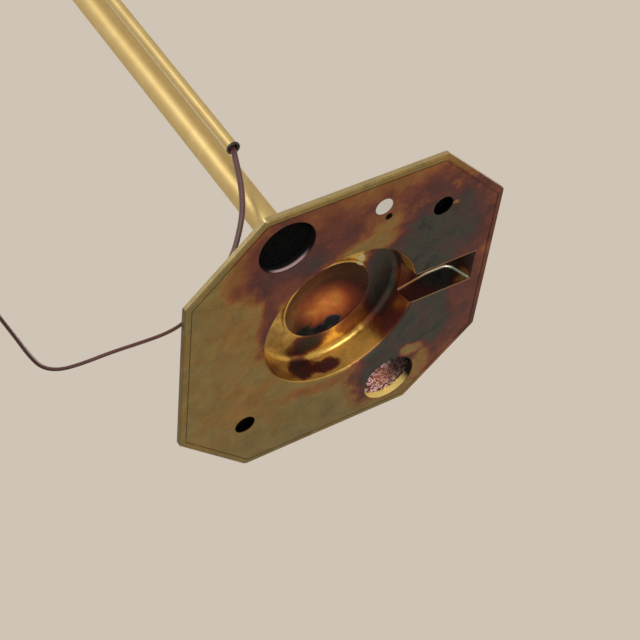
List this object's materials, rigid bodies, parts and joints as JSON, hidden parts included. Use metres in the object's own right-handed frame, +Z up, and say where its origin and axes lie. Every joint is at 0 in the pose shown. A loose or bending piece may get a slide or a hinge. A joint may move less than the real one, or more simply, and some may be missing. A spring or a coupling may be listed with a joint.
{
  "type": "adjustable floor lamp",
  "caption": "Brass reading floor lamp: octagonal weighted base, post with sliding riser tube, swing arm, tilting dome shade and flat flex with plug.",
  "frame": {"origin": "centre of the base's underside, on the floor, midway between the two small holes", "axes": "+Z up along the post; -Z is the underside's normal; the channel in the underside points to +X"},
  "size_m": [0.5055, 0.4705, 0.942],
  "materials": {
    "patinated_brass": "heat-stained and patinated casting",
    "iron_ballast": "granular",
    "blank_label": "matt",
    "satin_brass": "satin, lacquered",
    "turned_brass": "turned and lacquered",
    "shade_brass": "spun and lacquered",
    "nylon": "matt",
    "steel": "plain",
    "black_plastic": "satin",
    "bulb_metal": "bright",
    "bulb_glass": "frosted",
    "brown_flex": "satin moulded flex",
    "plug_plastic": "moulded",
    "tie_plastic": "matt"
  },
  "bodies": {
    "stand": {"base_casting": "patinated_brass", "ballast_fill": "iron_ballast", "round_label": "blank_label", "post_spigot": "steel", "post_foot_collar": "turned_brass", "post_tube": "satin_brass", "post_cap": "turned_brass", "guide_bracket": "turned_brass", "guide_liner": "nylon", "guide_screw": "steel", "clamp_block": "turned_brass", "clamp_liner": "nylon", "clamp_screw": "steel", "clamp_pad": "nylon", "cord_run": "brown_flex", "cord_coil": "brown_flex", "cord_tie": "tie_plastic", "cord_tail": "brown_flex", "plug_body": "plug_plastic", "plug_blades": "turned_brass"},
    "clamp_knob": {"clamp_knob": "turned_brass"},
    "riser": {"riser_tube": "satin_brass", "riser_bush": "black_plastic", "stop_collar": "turned_brass", "stop_collar_screw": "steel", "riser_lead": "brown_flex", "swivel_stud": "turned_brass", "swivel_washer": "nylon", "swivel_nut": "steel"},
    "arm": {"arm_knuckle": "turned_brass", "knuckle_cap": "turned_brass", "arm_tube": "satin_brass", "arm_lead": "brown_flex", "arm_end_barrel": "turned_brass", "roll_screw": "steel"},
    "fork": {"head_fork": "turned_brass", "tilt_pin": "steel"},
    "tilt_knob": {"tilt_knob": "turned_brass"},
    "head": {"tilt_washers": "nylon", "head_knuckle": "turned_brass", "socket_cap": "satin_brass", "switch_body": "black_plastic", "switch_nut": "steel", "socket_body": "black_plastic", "socket_shell": "satin_brass", "socket_contact": "turned_brass", "socket_leads": "brown_flex", "shade": "shade_brass", "shade_ring": "turned_brass", "bulb_cap": "bulb_metal", "bulb_glass": "bulb_glass"},
    "switch_knob": {"switch_knob": "black_plastic"}
  },
  "joints": [
    {"name": "height_slide", "type": "slide", "parent": "stand", "child": "riser", "axis": [0, 0, 1], "range_m": [0, 0.36], "deforming": ["cord_run"]},
    {"name": "arm_swing", "type": "hinge", "parent": "riser", "child": "arm", "pos_m": [0.00558, -0.02478, 0.904], "axis": [0, 0, 1], "range_deg": [-170, 170]},
    {"name": "head_roll", "type": "hinge", "parent": "arm", "child": "fork", "pos_m": [0.05615, -0.24915, 0.925], "axis": [0.2198, -0.9755, 0], "range_deg": [-90, 90]},
    {"name": "head_tilt", "type": "hinge", "parent": "fork", "child": "head", "pos_m": [0.05615, -0.24915, 0.925], "axis": [0.9755, 0.2198, 0], "range_deg": [-80, 40]},
    {"name": "switch_turn", "type": "hinge", "parent": "head", "child": "switch_knob", "pos_m": [0.05615, -0.24915, 0.8885], "axis": [0.2198, -0.9755, 0], "continuous": true},
    {"name": "clamp_screw_turn", "type": "hinge", "parent": "stand", "child": "clamp_knob", "pos_m": [0.00558, -0.02478, 0.711], "axis": [0.2198, -0.9755, 0], "range_deg": [0, 180]},
    {"name": "tilt_knob_turn", "type": "hinge", "parent": "fork", "child": "tilt_knob", "pos_m": [0.05615, -0.24915, 0.925], "axis": [0.9755, 0.2198, 0], "range_deg": [0, 180]}
  ]
}
